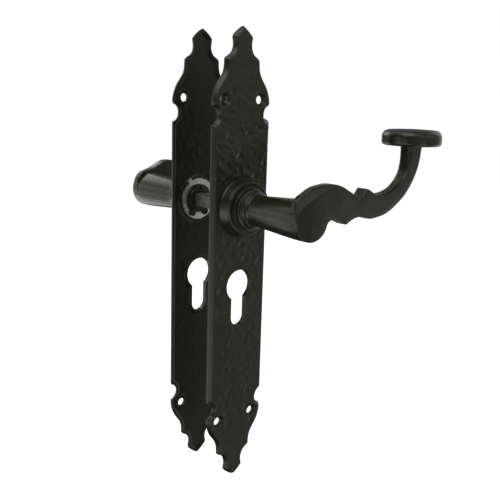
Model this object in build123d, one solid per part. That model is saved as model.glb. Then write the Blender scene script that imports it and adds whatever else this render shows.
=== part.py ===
from build123d import *
import math
import os

# ---------------------------------------------------------------------------
# Two-sided door lever set: scalloped long backplates, scrolled levers with a
# round thumb disc, sprung bosses and one square spindle.
#
# Frame: origin on the spindle axis, halfway through the door leaf.
# +Z up, +X from the hinge side towards the lever tips, Y through the door.
# The outside set lies at -Y, the inside set is its mirror image at +Y.
# "d" is the depth measured outwards from a door face. All sizes in mm.
# ---------------------------------------------------------------------------

# door and lock standards
DOOR = 35.0                 # door leaf thickness between the two plates
SPINDLE_SQ = 8.0            # square spindle across flats
CYL_PITCH = 47.5            # spindle axis to the euro cylinder's round centre
CYL_R = 9.5                 # cut-out round, for a 17 mm cylinder
CYL_SLOT_W = 11.2           # cut-out slot width, for a 10 mm cylinder web
CYL_DROP = 25.2             # cut-out bottom below the round's centre

# backplate
PLATE_CZ = -35.5            # plate middle below the spindle axis
RIM_D = 1.2                 # square-edged part of the plate's rim
FACE_D = 3.4                # plate face above the door
BEVEL_IN = 1.5              # bevel, measured across the face
POCKET_D = 1.6              # hollow in the plate's back
RIM_W = 2.3                 # width of the seating rim left round the hollow
SCREW_X = 27.1              # fixing holes, across
SCREW_Z = 195.1             # fixing holes, up the plate
SCREW_R = 2.5
SINK_R = 4.3                # countersink at the face

# boss collar
SPIGOT_R = 14.6
BOSS_R = 17.6
BOSS_NOSE_R = 15.4
CAVITY_R = 13.2
WALL_D = 8.6                # inner face of the collar's front wall
BOSS_D = 10.5               # boss front
RING_D = 12.3               # small step ring front
BUSH_OUT_R = 9.4

# shaft and running parts
SHAFT_R = 8.0
BUSH_CLEAR = 0.06
SHAFT_END = 0.2
GROOVE_A, GROOVE_B, GROOVE_R = 0.8, 1.9, 7.3
WASHER_A, WASHER_B = 1.95, 2.80
WASHER_R, WASHER_BORE = 12.95, 8.4
TAB_ANGLE, TAB_W, TAB_REACH = 121.0, 3.4, 15.2
SLOT_FLOOR = 2.9
CLIP_A, CLIP_B = 0.85, 1.85
SOCKET_SQ = 8.2
SOCKET_END = 24.0
SPINDLE_LEN = 2 * (DOOR / 2 + 22.5)

# lever
GRIP_BACK, GRIP_FRONT = 53.9, 61.3
TENON_R, TENON_LEN = 5.0, 5.0
STEM_X = 87.6
DISC_R, DISC_BOTTOM, DISC_TOP = 17.8, 38.9, 46.6
STEM_TENON_R = 2.6

# return spring
WIRE_R, COIL_R = 0.7, 11.0
COIL_START, COIL_PITCH, COIL_TURNS = 3.8, 1.65, 2.25
LEAD_LEN, BEND_R = 9.0, 2.0
KEY_ANGLE = 90.0            # keyway in the shaft for the spring's inner leg

# half outline of the backplate: distance from centre line, height above middle
TIP = (0.0, 137.9)
HEAD = [TIP, (2.12, 136.75), (4.23, 135.2), (6.13, 133.46), (7.14, 132.08)]
NECK = [(7.14, 132.08), (6.95, 130.3), (6.60, 128.4), (6.75, 126.3), (7.72, 123.9), (9.5, 122.1), (12.06, 120.56), (12.8, 119.71)]
BELLY = [(12.8, 119.71), (12.9, 116.6), (13.45, 113.3), (15.2, 109.9), (17.6, 106.7), (19.6, 103.3), (20.9, 99.7), (21.5, 96.5), (21.15, 94.01)]
NOTCH = [(21.15, 94.01), (17.24, 88.75), (21.47, 83.44)]

# lever bar, seen from the front: distance along the lever, height over the axis
BULB_R = 10.5
TOP_LINE = [(-9.6, 4.9), (-9.2, 8.4), (-7.3, 12.1), (-3.6, 15.0), (1.6, 17.8), (7.5, 18.9), (13.8, 18.9), (19.6, 17.8), (25.7, 15.3), (31.2, 11.9), (38.6, 9.4)]
TOOTH = (43.6, 14.2)
AFTER_TOOTH = [TOOTH, (47.8, 12.6), (51.8, 10.6), (55.6, 10.0), (61.0, 10.1), (66.0, 10.7), (71.6, 12.4), (77.1, 15.9), (81.1, 20.7), (83.0, 25.9), (83.5, 32.5), (83.4, DISC_BOTTOM)]
OUTER = [(92.0, DISC_BOTTOM), (91.8, 31.5), (89.4, 23.5), (85.1, 16.2), (78.9, 9.5), (72.6, 4.7), (66.1, 1.3), (59.6, -0.9), (54.1, -2.0), (50.2, -2.1), (44.8, -1.0), (40.2, 0.2), (36.6, 0.3), (32.3, -0.6), (27.3, -2.9)]
UNDER = [(27.3, -2.9), (24.8, -1.9), (20.5, -0.2), (15.6, 0.6), (12.6, -0.4), (10.75, -2.4)]


def y_of(d):
    """Depth outside the outer door face to a Y coordinate."""
    return -(DOOR / 2 + d)


def revolve_y(points):
    """Solid of revolution about the spindle axis from (radius, depth) points."""
    pts = [(r, y_of(d)) for r, d in points]
    face = make_face(Polyline(*pts, close=True))
    return revolve(face, axis=Axis.Y)


def ring_y(r_in, r_out, d0, d1):
    return revolve_y([(r_in, d0), (r_out, d0), (r_out, d1), (r_in, d1)])


def slab(face, d0, d1):
    """Extrude a face drawn on X, Z from depth d0 to depth d1 outside."""
    # Plane.XZ has its normal along -Y, which is outwards on the outside set
    placed = Plane.XZ.offset(DOOR / 2 + d0) * face
    return extrude(placed, amount=d1 - d0)


def box_xdz(x0, x1, d0, d1, z0, z1):
    b = Box(x1 - x0, d1 - d0, z1 - z0)
    return Pos((x0 + x1) / 2, (y_of(d0) + y_of(d1)) / 2, (z0 + z1) / 2) * b


def cyl_y(x, z, r, d0, d1):
    c = Cylinder(r, d1 - d0, rotation=(90, 0, 0))
    return Pos(x, (y_of(d0) + y_of(d1)) / 2, z) * c


# ---------------------------------------------------------------- backplate
def sx(p, sgn_x, sgn_z):
    return (sgn_x * p[0], PLATE_CZ + sgn_z * p[1])


def quarter(sgn_x, sgn_z):
    out = []
    for seg in (HEAD, NECK, BELLY):
        out.append(Spline(*[sx(p, sgn_x, sgn_z) for p in seg]))
    out.append(ThreePointArc(*[sx(p, sgn_x, sgn_z) for p in NOTCH]))
    return out


def plate_outline():
    edges = []
    for a in (1, -1):
        for b in (1, -1):
            edges += quarter(a, b)
        edges.append(Line(sx(NOTCH[2], a, 1), sx(NOTCH[2], a, -1)))
    return make_face(Wire(edges))


def sample_outline(step=2.0):
    """The plate's outline as a closed ring of points, for the hollow's edge."""
    right = []
    for seg in (HEAD, NECK, BELLY):
        e = Spline(*[(p[0], p[1]) for p in seg])
        n = max(3, int(e.length / step))
        right += [((e @ (i / n)).X, (e @ (i / n)).Y) for i in range(n)]
    e = ThreePointArc(*[(p[0], p[1]) for p in NOTCH])
    n = max(3, int(e.length / step))
    right += [((e @ (i / n)).X, (e @ (i / n)).Y) for i in range(n)]
    right.append(NOTCH[2])
    lower = [(x, -z) for x, z in reversed(right)]
    side = right + lower
    left = [(-x, z) for x, z in reversed(side)][1:-1]
    ring = side + left
    return [(x, PLATE_CZ + z) for x, z in ring]


def cylinder_cutout(grow=0.0):
    """Euro-profile opening: a round above a round-ended slot."""
    zc = -CYL_PITCH
    w = CYL_SLOT_W / 2 + grow
    round_ = Pos(0, zc) * Circle(CYL_R + grow)
    low = zc - CYL_DROP - grow + w
    slot = Pos(0, (zc + low) / 2) * Rectangle(2 * w, zc - low)
    end = Pos(0, low) * Circle(w)
    return round_ + slot + end


def backplate():
    outline = plate_outline()
    body = slab(outline, 0, FACE_D)
    front = body.faces().sort_by(Axis.Y)[0]
    body = chamfer(front.edges(), length=FACE_D - RIM_D, length2=BEVEL_IN, reference=front)
    # hollow back, leaving a seating rim and pads round every opening
    ring = make_face(Polyline(*sample_outline(), close=True))
    pocket = offset(ring, -RIM_W, kind=Kind.INTERSECTION)
    pads = cylinder_cutout(grow=1.8)
    for x in (-SCREW_X / 2, SCREW_X / 2):
        for z in (-SCREW_Z / 2, SCREW_Z / 2):
            pads = pads + Pos(x, PLATE_CZ + z) * Circle(4.6)
    pocket = pocket - pads
    body = body - slab(pocket, -1, POCKET_D)
    body = body - slab(cylinder_cutout(), -1, FACE_D + 1)
    body = body - cyl_y(0, 0, SPIGOT_R, -1, FACE_D + 1)
    for x in (-SCREW_X / 2, SCREW_X / 2):
        for z in (-SCREW_Z / 2, SCREW_Z / 2):
            body = body - cyl_y(x, PLATE_CZ + z, SCREW_R, -1, FACE_D + 1)
            deep = SINK_R - SCREW_R
            cone = Cone(SCREW_R, SINK_R, deep, rotation=(90, 0, 0))
            body = body - Pos(x, y_of(FACE_D - deep / 2), PLATE_CZ + z) * cone
    return body - tab_slot() - collar_pins()


def tab_slot():
    """Keyway in the recess wall for the washer's tab."""
    slot = box_xdz(12.0, TAB_REACH + 0.35, POCKET_D - 0.3, SLOT_FLOOR, -TAB_W / 2 - 0.3, TAB_W / 2 + 0.3)
    return Rot(0, -TAB_ANGLE, 0) * slot


# -------------------------------------------------------------- boss collar
def collar_pins():
    """Two keys across the joint between collar spigot and plate."""
    pins = [cyl_y(x, 14.75, 1.0, POCKET_D - 0.25, 5.4) for x in (-2.05, 2.05)]
    return pins[0] + pins[1]


def leg_hole():
    """Socket in the collar's wall that holds the spring's outer leg."""
    helix = coil_helix()
    p0, t0 = helix @ 0, helix % 0
    hole = extrude(Plane(origin=p0 - t0 * 5.4, z_dir=-t0) * Circle(WIRE_R + 0.15), amount=4.3)
    return lay_coil(hole)


def boss_collar():
    nose = []
    r0, r1, d0, d1 = 16.7, BOSS_NOSE_R, BOSS_D - 1.5, BOSS_D
    for i in range(7):
        t = math.pi / 2 * i / 6
        nose.append((r1 + (r0 - r1) * math.cos(t), d0 + (d1 - d0) * math.sin(t)))
    outer = [(SPIGOT_R, POCKET_D), (SPIGOT_R, FACE_D), (BOSS_R, FACE_D), (17.1, FACE_D + 0.6)] + nose
    outer += [(13.6, BOSS_D), (12.45, BOSS_D + 0.15), (12.45, BOSS_D + 0.45), (12.75, BOSS_D + 0.7), (12.75, RING_D - 0.3), (12.45, RING_D)]
    inner = [(BUSH_OUT_R, RING_D), (BUSH_OUT_R, WALL_D), (CAVITY_R, WALL_D), (CAVITY_R, POCKET_D)]
    body = revolve_y(outer + inner)
    return body - tab_slot() - collar_pins() - leg_hole()


def nylon_bush():
    r = SHAFT_R + BUSH_CLEAR
    return revolve_y([(r, WALL_D), (BUSH_OUT_R, WALL_D), (BUSH_OUT_R, RING_D), (11.3, RING_D), (11.4, RING_D + 0.1), (11.4, RING_D + 0.3), (11.3, RING_D + 0.4), (r, RING_D + 0.4)])


# ------------------------------------------------------------------- lever
def lever_neck():
    # shaft end, circlip groove, bearing length, stepped ring, cove and bead
    pts = [(0, SHAFT_END), (SHAFT_R - 0.3, SHAFT_END), (SHAFT_R, SHAFT_END + 0.3), (SHAFT_R, GROOVE_A), (GROOVE_R, GROOVE_A), (GROOVE_R, GROOVE_B), (SHAFT_R, GROOVE_B),
           (SHAFT_R, RING_D + 0.5), (11.6, RING_D + 0.5), (11.85, RING_D + 0.75), (11.85, RING_D + 1.35), (11.55, RING_D + 1.65)]
    cove = [(11.2, 14.0), (10.5, 14.3), (10.05, 14.8), (9.9, 15.4), (9.95, 15.9), (10.25, 16.3)]
    bead = [(10.55, 16.6), (10.72, 17.0), (10.72, 17.4), (10.5, 17.85), (10.1, 18.1)]
    neck = [(9.35, 18.4), (8.85, 18.9), (8.55, 19.6), (8.45, 20.5), (8.5, 22.0), (8.7, 25.0), (9.0, 29.0), (9.35, 34.0), (9.75, 39.0), (10.15, 44.0), (10.5, 48.5), (10.8, 52.0), (10.8, GRIP_BACK)]
    tail = [(TENON_R, GRIP_BACK), (TENON_R, GRIP_BACK + TENON_LEN), (0, GRIP_BACK + TENON_LEN)]
    body = revolve_y(pts + cove + bead + neck + tail)
    half = SOCKET_SQ / 2
    body = body - box_xdz(-half, half, SHAFT_END - 1, SOCKET_END, -half, half)
    # keyway for the spring's inner leg
    key = box_xdz(6.2, 9.0, SHAFT_END - 1, 8.45, -1.0, 1.0)
    body = body - Rot(0, -KEY_ANGLE, 0) * key
    return body


def grip_face():
    top = Spline(*TOP_LINE)
    rise = Line(TOP_LINE[-1], (40.6, 10.4)) + Line((40.6, 10.4), TOOTH)
    inner = Spline(*AFTER_TOOTH)
    cap = Line(AFTER_TOOTH[-1], OUTER[0])
    outer = Spline(*OUTER)
    under = Spline(*UNDER)
    a0 = math.atan2(UNDER[-1][1], UNDER[-1][0])
    a1 = math.atan2(TOP_LINE[0][1], TOP_LINE[0][0]) - 2 * math.pi
    am = (a0 + a1) / 2
    bulb = ThreePointArc(UNDER[-1], (BULB_R * math.cos(am), BULB_R * math.sin(am)), TOP_LINE[0])
    edges = [top] + list(rise.edges()) + [inner, cap, outer, under, bulb]
    return make_face(Wire(edges))


def lever_grip():
    body = slab(grip_face(), GRIP_BACK, GRIP_FRONT)
    body = body - cyl_y(0, 0, TENON_R, GRIP_BACK - 1, GRIP_BACK + TENON_LEN)
    # round tenon on the stem's end, riveted into the disc
    mid = y_of((GRIP_BACK + GRIP_FRONT) / 2)
    body = body + Pos(STEM_X, mid, DISC_BOTTOM + 2.5) * Cylinder(STEM_TENON_R, 5.0)
    return body


def lever_disc():
    mid = y_of((GRIP_BACK + GRIP_FRONT) / 2)
    h = DISC_TOP - DISC_BOTTOM
    rb, rt = 1.8, 4.6
    pts = [(STEM_TENON_R, 0), (DISC_R - rb, 0)]
    for i in range(1, 7):
        t = math.pi / 2 * i / 6
        pts.append((DISC_R - rb + rb * math.sin(t), rb - rb * math.cos(t)))
    for i in range(1, 10):
        t = math.pi / 2 * i / 9
        pts.append((DISC_R - rt + rt * math.cos(t), h - 0.5 - rt + rt * math.sin(t)))
    pts += [(9.0, h - 0.15), (4.0, h), (0, h), (0, 5.0), (STEM_TENON_R, 5.0)]
    face = make_face(Polyline(*pts, close=True))
    body = revolve(Plane.XZ * face, axis=Axis.Z)
    return Pos(STEM_X, mid, DISC_BOTTOM) * body


# ----------------------------------------------------- spring, washer, clip
def coil_helix():
    return Helix(pitch=COIL_PITCH, height=COIL_PITCH * COIL_TURNS, radius=COIL_R)


def tail_angle():
    """Angle of the inner leg about the coil's axis, before the coil is turned."""
    return 360.0 * (COIL_TURNS % 1.0) + math.degrees(math.asin(BEND_R / (COIL_R - BEND_R))) + 0.0


def lay_coil(shape):
    """Stand a shape drawn about Z on the spindle axis, its inner leg at the keyway."""
    turn = KEY_ANGLE - tail_angle()
    return Pos(0, y_of(COIL_START), 0) * Rot(0, -turn, 0) * Rot(90, 0, 0) * shape


def return_spring():
    """Torsion coil: tangent outer leg, inner leg bent in towards the shaft."""
    helix = coil_helix()
    p0, t0 = helix @ 0, helix % 0
    p1, t1 = helix @ 1, helix % 1
    inward = Vector(-p1.X, -p1.Y, 0).normalized()
    phi = math.acos(-BEND_R / (COIL_R - BEND_R))
    centre = p1 + inward * BEND_R

    def on(a):
        return centre - inward * (BEND_R * math.cos(a)) + t1 * (BEND_R * math.sin(a))

    bend = ThreePointArc(p1, on(phi / 2), on(phi))
    end = on(phi)
    run = inward * math.sin(phi) + t1 * math.cos(phi)
    tail = Line(end, end + run * (math.hypot(end.X, end.Y) - 6.8))
    start = p0 - t0 * LEAD_LEN
    lead = Line(start, p0)
    path = Wire([lead.edges()[0], helix.edges()[0], bend.edges()[0], tail.edges()[0]])
    section = Plane(origin=start, z_dir=t0) * Circle(WIRE_R)
    return lay_coil(sweep(section, path=path))


def tab_washer():
    body = ring_y(WASHER_BORE, WASHER_R, WASHER_A, WASHER_B)
    tab = box_xdz(12.0, TAB_REACH, WASHER_A, WASHER_B, -TAB_W / 2, TAB_W / 2)
    return body + Rot(0, -TAB_ANGLE, 0) * tab


def circlip():
    r_in = GROOVE_R + 0.05
    ring = Circle(9.25) - Circle(r_in)
    # the gap faces down, with an eyelet lug each side
    gap = make_face(Polyline((0, 0), (-5.2, -14), (5.2, -14), close=True))
    ring = ring - gap
    lug_x, lug_z = 4.85, -8.3
    for s in (-1, 1):
        ring = ring + Pos(s * lug_x, lug_z) * Circle(2.15)
    ring = ring - Circle(r_in)
    for s in (-1, 1):
        ring = ring - Pos(s * lug_x, lug_z - 0.15) * Circle(0.85)
    return slab(ring, CLIP_A, CLIP_B)


def spindle():
    bar = Box(SPINDLE_SQ, SPINDLE_LEN, SPINDLE_SQ)
    bar = chamfer(bar.edges().filter_by(Axis.Y), length=0.5)
    return chamfer(bar.faces().sort_by(Axis.Y)[0].edges() + bar.faces().sort_by(Axis.Y)[-1].edges(), length=0.7)


SIDE_PARTS = {
    "backplate": backplate,
    "boss_collar": boss_collar,
    "collar_pins": collar_pins,
    "nylon_bush": nylon_bush,
    "lever_neck": lever_neck,
    "lever_grip": lever_grip,
    "lever_disc": lever_disc,
    "return_spring": return_spring,
    "tab_washer": tab_washer,
    "circlip": circlip,
}


def main():
    os.makedirs("parts", exist_ok=True)
    for name, make in SIDE_PARTS.items():
        shape = make()
        export_step(shape, f"parts/outside_{name}.step")
        export_step(mirror(shape, about=Plane.XZ), f"parts/inside_{name}.step")
    export_step(spindle(), "parts/spindle.step")


main()
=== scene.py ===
import math

import bmesh
import bpy
import numpy as np
from mathutils import Matrix, Vector
from mathutils.geometry import delaunay_2d_cdt


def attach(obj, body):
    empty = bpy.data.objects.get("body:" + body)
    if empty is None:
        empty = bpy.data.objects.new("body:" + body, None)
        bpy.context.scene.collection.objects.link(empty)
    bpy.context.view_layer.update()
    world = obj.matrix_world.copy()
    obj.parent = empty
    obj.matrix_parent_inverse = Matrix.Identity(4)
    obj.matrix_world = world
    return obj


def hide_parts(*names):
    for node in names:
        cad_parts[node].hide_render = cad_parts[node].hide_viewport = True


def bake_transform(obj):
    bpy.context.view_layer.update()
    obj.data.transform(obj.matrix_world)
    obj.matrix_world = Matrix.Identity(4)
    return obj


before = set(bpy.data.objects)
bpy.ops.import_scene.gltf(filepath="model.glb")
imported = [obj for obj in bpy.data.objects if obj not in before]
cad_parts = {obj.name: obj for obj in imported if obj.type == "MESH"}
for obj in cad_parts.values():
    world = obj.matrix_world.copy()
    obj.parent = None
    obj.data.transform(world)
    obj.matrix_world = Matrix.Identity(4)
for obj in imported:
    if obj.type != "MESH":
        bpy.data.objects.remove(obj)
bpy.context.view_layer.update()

# ---------------------------------------------------------------------------
# Door lever set. Lengths below are in millimetres; MM turns them to metres.
# Origin on the spindle axis at the door's middle plane, +Z up, +X towards the
# lever tips, the outside set at -Y. "d" is the depth outwards from a door face.
# ---------------------------------------------------------------------------
MM = 0.001
DOOR = 35.0
CYL_PITCH, CYL_R, CYL_SLOT_W, CYL_DROP = 47.5, 9.5, 11.2, 25.2
PLATE_CZ = -35.5
RIM_D, FACE_D, BEVEL_IN, POCKET_D, RIM_W = 1.2, 3.4, 1.5, 1.6, 2.3
SCREW_X, SCREW_Z, SCREW_R, SINK_R = 27.1, 195.1, 2.5, 4.3
SPIGOT_R, BOSS_R, BOSS_NOSE_R, CAVITY_R = 14.6, 17.6, 15.4, 13.2
WALL_D, BOSS_D, RING_D, BUSH_OUT_R = 8.6, 10.5, 12.3, 9.4
SHAFT_R, SHAFT_END = 8.0, 0.2
GROOVE_A, GROOVE_B, GROOVE_R = 0.8, 1.9, 7.3
WASHER_A, WASHER_B, WASHER_R, WASHER_BORE = 1.95, 2.80, 12.95, 8.4
TAB_ANGLE, TAB_W, TAB_REACH, SLOT_FLOOR = 121.0, 3.4, 15.2, 2.9
CLIP_A, CLIP_B = 0.85, 1.85
SOCKET_SQ, SOCKET_END = 8.2, 24.0
SPINDLE_SQ, SPINDLE_LEN = 8.0, 80.0
GRIP_BACK, GRIP_FRONT = 53.9, 61.3
STEM_X, DISC_R, DISC_BOTTOM, DISC_TOP = 87.6, 17.8, 38.9, 46.6
KEY_ANGLE = 90.0

TIP = (0.0, 137.9)
HEAD = [TIP, (2.12, 136.75), (4.23, 135.2), (6.13, 133.46), (7.14, 132.08)]
NECK = [(7.14, 132.08), (6.95, 130.3), (6.60, 128.4), (6.75, 126.3), (7.72, 123.9), (9.5, 122.1), (12.06, 120.56), (12.8, 119.71)]
BELLY = [(12.8, 119.71), (12.9, 116.6), (13.45, 113.3), (15.2, 109.9), (17.6, 106.7), (19.6, 103.3), (20.9, 99.7), (21.5, 96.5), (21.15, 94.01)]
NOTCH = [(21.15, 94.01), (17.24, 88.75), (21.47, 83.44)]

BULB_R = 10.5
TOP_LINE = [(-9.6, 4.9), (-9.2, 8.4), (-7.3, 12.1), (-3.6, 15.0), (1.6, 17.8), (7.5, 18.9), (13.8, 18.9), (19.6, 17.8), (25.7, 15.3), (31.2, 11.9), (38.6, 9.4)]
TOOTH = (43.6, 14.2)
AFTER_TOOTH = [TOOTH, (47.8, 12.6), (51.8, 10.6), (55.6, 10.0), (61.0, 10.1), (66.0, 10.7), (71.6, 12.4), (77.1, 15.9), (81.1, 20.7), (83.0, 25.9), (83.5, 32.5), (83.4, DISC_BOTTOM)]
OUTER = [(92.0, DISC_BOTTOM), (91.8, 31.5), (89.4, 23.5), (85.1, 16.2), (78.9, 9.5), (72.6, 4.7), (66.1, 1.3), (59.6, -0.9), (54.1, -2.0), (50.2, -2.1), (44.8, -1.0), (40.2, 0.2), (36.6, 0.3), (32.3, -0.6), (27.3, -2.9)]
UNDER = [(27.3, -2.9), (24.8, -1.9), (20.5, -0.2), (15.6, 0.6), (12.6, -0.4), (10.75, -2.4)]

OUT, IN = -1.0, 1.0       # which way a set faces along Y
SIDES = (("outside", OUT, "outside_lever"), ("inside", IN, "inside_lever"))


# ------------------------------------------------------------- plane curves
def spline(points, step):
    """Smooth curve through the points, sampled about every step."""
    p = np.array(points, float)
    h = np.sqrt(((p[1:] - p[:-1]) ** 2).sum(1))
    t = np.concatenate([[0], np.cumsum(h)])
    m = len(p)
    a, b = np.zeros((m, m)), np.zeros((m, p.shape[1]))
    for i in range(1, m - 1):
        a[i, i - 1], a[i, i], a[i, i + 1] = h[i - 1], 2 * (h[i - 1] + h[i]), h[i]
        b[i] = 6 * ((p[i + 1] - p[i]) / h[i] - (p[i] - p[i - 1]) / h[i - 1])
    a[0, 0], a[0, 1], a[0, 2] = h[1], -(h[0] + h[1]), h[0]
    a[-1, -1], a[-1, -2], a[-1, -3] = h[-2], -(h[-1] + h[-2]), h[-1]
    k = np.linalg.solve(a, b)
    n = max(2, int(round(t[-1] / step)))
    s = np.linspace(0, t[-1], n + 1)
    i = np.clip(np.searchsorted(t, s, side="right") - 1, 0, m - 2)
    u, v, hh = (t[i + 1] - s)[:, None], (s - t[i])[:, None], h[i][:, None]
    return k[i] * u ** 3 / (6 * hh) + k[i + 1] * v ** 3 / (6 * hh) + (p[i] / hh - k[i] * hh / 6) * u + (p[i + 1] / hh - k[i + 1] * hh / 6) * v


def line(a, b, step):
    a, b = np.array(a, float), np.array(b, float)
    n = max(1, int(round(np.linalg.norm(b - a) / step)))
    return a + (b - a) * np.linspace(0, 1, n + 1)[:, None]


def arc3(a, b, c, step):
    """Circular arc from a through b to c."""
    (ax, ay), (bx, by), (cx, cy) = a, b, c
    d = 2 * (ax * (by - cy) + bx * (cy - ay) + cx * (ay - by))
    ux = ((ax * ax + ay * ay) * (by - cy) + (bx * bx + by * by) * (cy - ay) + (cx * cx + cy * cy) * (ay - by)) / d
    uy = ((ax * ax + ay * ay) * (cx - bx) + (bx * bx + by * by) * (ax - cx) + (cx * cx + cy * cy) * (bx - ax)) / d
    r = math.hypot(ax - ux, ay - uy)
    t0, t1, t2 = (math.atan2(y - uy, x - ux) for x, y in (a, b, c))
    turn = 2 * math.pi
    if (t1 - t0) % turn <= (t2 - t0) % turn:
        sweep = (t2 - t0) % turn
    else:
        sweep = -((t0 - t2) % turn)
    n = max(2, int(round(abs(sweep) * r / step)))
    t = t0 + sweep * np.linspace(0, 1, n + 1)
    return np.stack([ux + r * np.cos(t), uy + r * np.sin(t)], 1)


def circle(r, n, cx=0.0, cy=0.0, start=0.0):
    t = start + np.arange(n) * 2 * math.pi / n
    return np.stack([cx + r * np.cos(t), cy + r * np.sin(t)], 1)


def ring_of(parts):
    """Joins runs end to end into one closed ring, anticlockwise."""
    out = [parts[0][:-1]]
    for p in parts[1:]:
        out.append(p[:-1])
    ring = np.concatenate(out)
    x, y = ring[:, 0], ring[:, 1]
    if (x * np.roll(y, -1) - y * np.roll(x, -1)).sum() < 0:
        ring = ring[::-1]
    return ring


def distance(q, ring, closed=True):
    """Distance of each point of q from a ring's line."""
    a = ring
    b = np.roll(ring, -1, 0)
    if not closed:
        a, b = a[:-1], ring[1:]
    e = b - a
    ee = (e * e).sum(1)
    out = np.empty(len(q))
    for k in range(0, len(q), 2000):
        w = q[k:k + 2000, None] - a[None]
        t = np.clip((w * e[None]).sum(2) / ee[None], 0, 1)
        out[k:k + 2000] = np.sqrt(((w - t[:, :, None] * e[None]) ** 2).sum(2)).min(1)
    return out


def inside(q, ring):
    a, b = ring, np.roll(ring, -1, 0)
    out = np.zeros(len(q), bool)
    for k in range(0, len(q), 2000):
        x, y = q[k:k + 2000, 0][:, None], q[k:k + 2000, 1][:, None]
        cross = (a[None, :, 1] > y) != (b[None, :, 1] > y)
        dy = b[:, 1] - a[:, 1]
        dy[dy == 0] = 1e-12
        xi = a[None, :, 0] + (y - a[None, :, 1]) * ((b[:, 0] - a[:, 0]) / dy)[None]
        out[k:k + 2000] = ((cross & (x < xi)).sum(1) % 2) == 1
    return out


def inset(ring, s):
    """The ring moved s into its own inside (s < 0: outwards), folds removed."""
    if abs(s) < 1e-9:
        return ring.copy()
    e = np.roll(ring, -1, 0) - ring
    e /= np.linalg.norm(e, axis=1)[:, None]
    n2 = np.stack([-e[:, 1], e[:, 0]], 1)
    n1 = np.roll(n2, 1, 0)
    m = (n1 + n2) / (1 + (n1 * n2).sum(1))[:, None]
    length = np.linalg.norm(m, axis=1)[:, None]
    m = m / length * np.minimum(length, 1.6)
    q = ring + s * m
    keep = distance(q, ring) > 0.97 * abs(s)
    return q[keep]


def grid_points(lo, hi, step):
    rows = []
    k = 0
    y = lo[1]
    while y <= hi[1]:
        x = np.arange(lo[0] + (0.5 * step if k % 2 else 0.0), hi[0], step)
        rows.append(np.stack([x, np.full(len(x), y)], 1))
        y += step * 0.866
        k += 1
    return np.concatenate(rows)


def triangulate(rings, holes, free, extra=()):
    """Triangles of the area inside rings[0] and outside each holes[i][0].
    rings and holes[i] are nested lists of rings of points; every ring's line
    is kept. Returns points, triangles and each point's tag (set, ring) or -1."""
    pts, edges, tag = [], [], []
    for gi, group in enumerate([rings] + list(holes)):
        for ri, r in enumerate(group):
            base = len(pts)
            n = len(r)
            pts += [tuple(v) for v in r]
            edges += [(base + i, base + (i + 1) % n) for i in range(n)]
            tag += [(gi, ri)] * n
    for run in extra:
        base = len(pts)
        pts += [tuple(v) for v in run]
        edges += [(base + i, base + i + 1) for i in range(len(run) - 1)]
        tag += [-1] * len(run)
    pts += [tuple(v) for v in free]
    tag += [-1] * len(free)
    vs, _, fs, orig, _, _ = delaunay_2d_cdt([Vector(p) for p in pts], edges, [], 0, 1e-7)
    v = np.array([tuple(p) for p in vs])
    f = np.array([tuple(t) for t in fs if len(t) == 3])
    c = v[f].mean(1)
    keep = inside(c, rings[0])
    for h in holes:
        keep &= ~inside(c, h[0])
    f = f[keep]
    area = np.cross(v[f[:, 1]] - v[f[:, 0]], v[f[:, 2]] - v[f[:, 0]])
    f[area < 0] = f[area < 0][:, ::-1]
    tags = [min((tag[i] for i in o if tag[i] != -1), default=-1) if len(o) else -1 for o in orig]
    return v, f, tags


# ------------------------------------------------------------ mesh building
class Shape:
    """Gathers points (x, d, z in mm) and faces, then makes one closed mesh."""

    def __init__(self):
        self.p, self.f, self.n = [], [], 0

    def add(self, points, faces):
        points = np.asarray(points, float).reshape(-1, 3)
        self.p.append(points)
        self.f += [tuple(int(i) + self.n for i in f) for f in faces]
        self.n += len(points)

    def strip(self, a, b):
        """Quads between two rings with as many points each."""
        n = len(a)
        self.add(np.concatenate([a, b]), [(i, (i + 1) % n, n + (i + 1) % n, n + i) for i in range(n)])

    def make(self, name, side, angle=32.0, weld=0.002):
        p = np.concatenate(self.p)
        world = np.stack([p[:, 0], side * (DOOR / 2 + p[:, 1]), p[:, 2]], 1) * MM
        mesh = bpy.data.meshes.new(name)
        mesh.from_pydata([tuple(v) for v in world], [], self.f)
        bm = bmesh.new()
        bm.from_mesh(mesh)
        bmesh.ops.remove_doubles(bm, verts=bm.verts, dist=weld * MM)
        bmesh.ops.dissolve_degenerate(bm, edges=bm.edges, dist=1e-7)
        bmesh.ops.recalc_face_normals(bm, faces=bm.faces)
        finish_mesh(bm, angle)
        bm.to_mesh(mesh)
        bm.free()
        return link(name, mesh)


def finish_mesh(bm, angle):
    limit = math.radians(angle)
    for f in bm.faces:
        f.smooth = True
    for e in bm.edges:
        e.smooth = len(e.link_faces) == 2 and e.calc_face_angle(0.0) < limit


def link(name, mesh):
    obj = bpy.data.objects.new(name, mesh)
    bpy.context.scene.collection.objects.link(obj)
    return obj


def lift(ring, d):
    """A ring of (x, z) points laid at depth d."""
    ring = np.asarray(ring)
    d = np.full(len(ring), float(d)) if np.isscalar(d) else np.asarray(d)
    return np.stack([ring[:, 0], d, ring[:, 1]], 1)


def cut(obj, cutter):
    """Takes the cutter's volume out of obj's mesh."""
    mod = obj.modifiers.new("cut", "BOOLEAN")
    mod.operation, mod.solver, mod.object = "DIFFERENCE", "EXACT", cutter
    dg = bpy.context.evaluated_depsgraph_get()
    made = bpy.data.meshes.new_from_object(obj.evaluated_get(dg))
    obj.modifiers.clear()
    old, obj.data = obj.data, made
    name = old.name
    bpy.data.meshes.remove(old)
    made.name = name
    bpy.data.objects.remove(cutter)
    bm = bmesh.new()
    bm.from_mesh(made)
    finish_mesh(bm, 32.0)
    bm.to_mesh(made)
    bm.free()
    return obj


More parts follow.
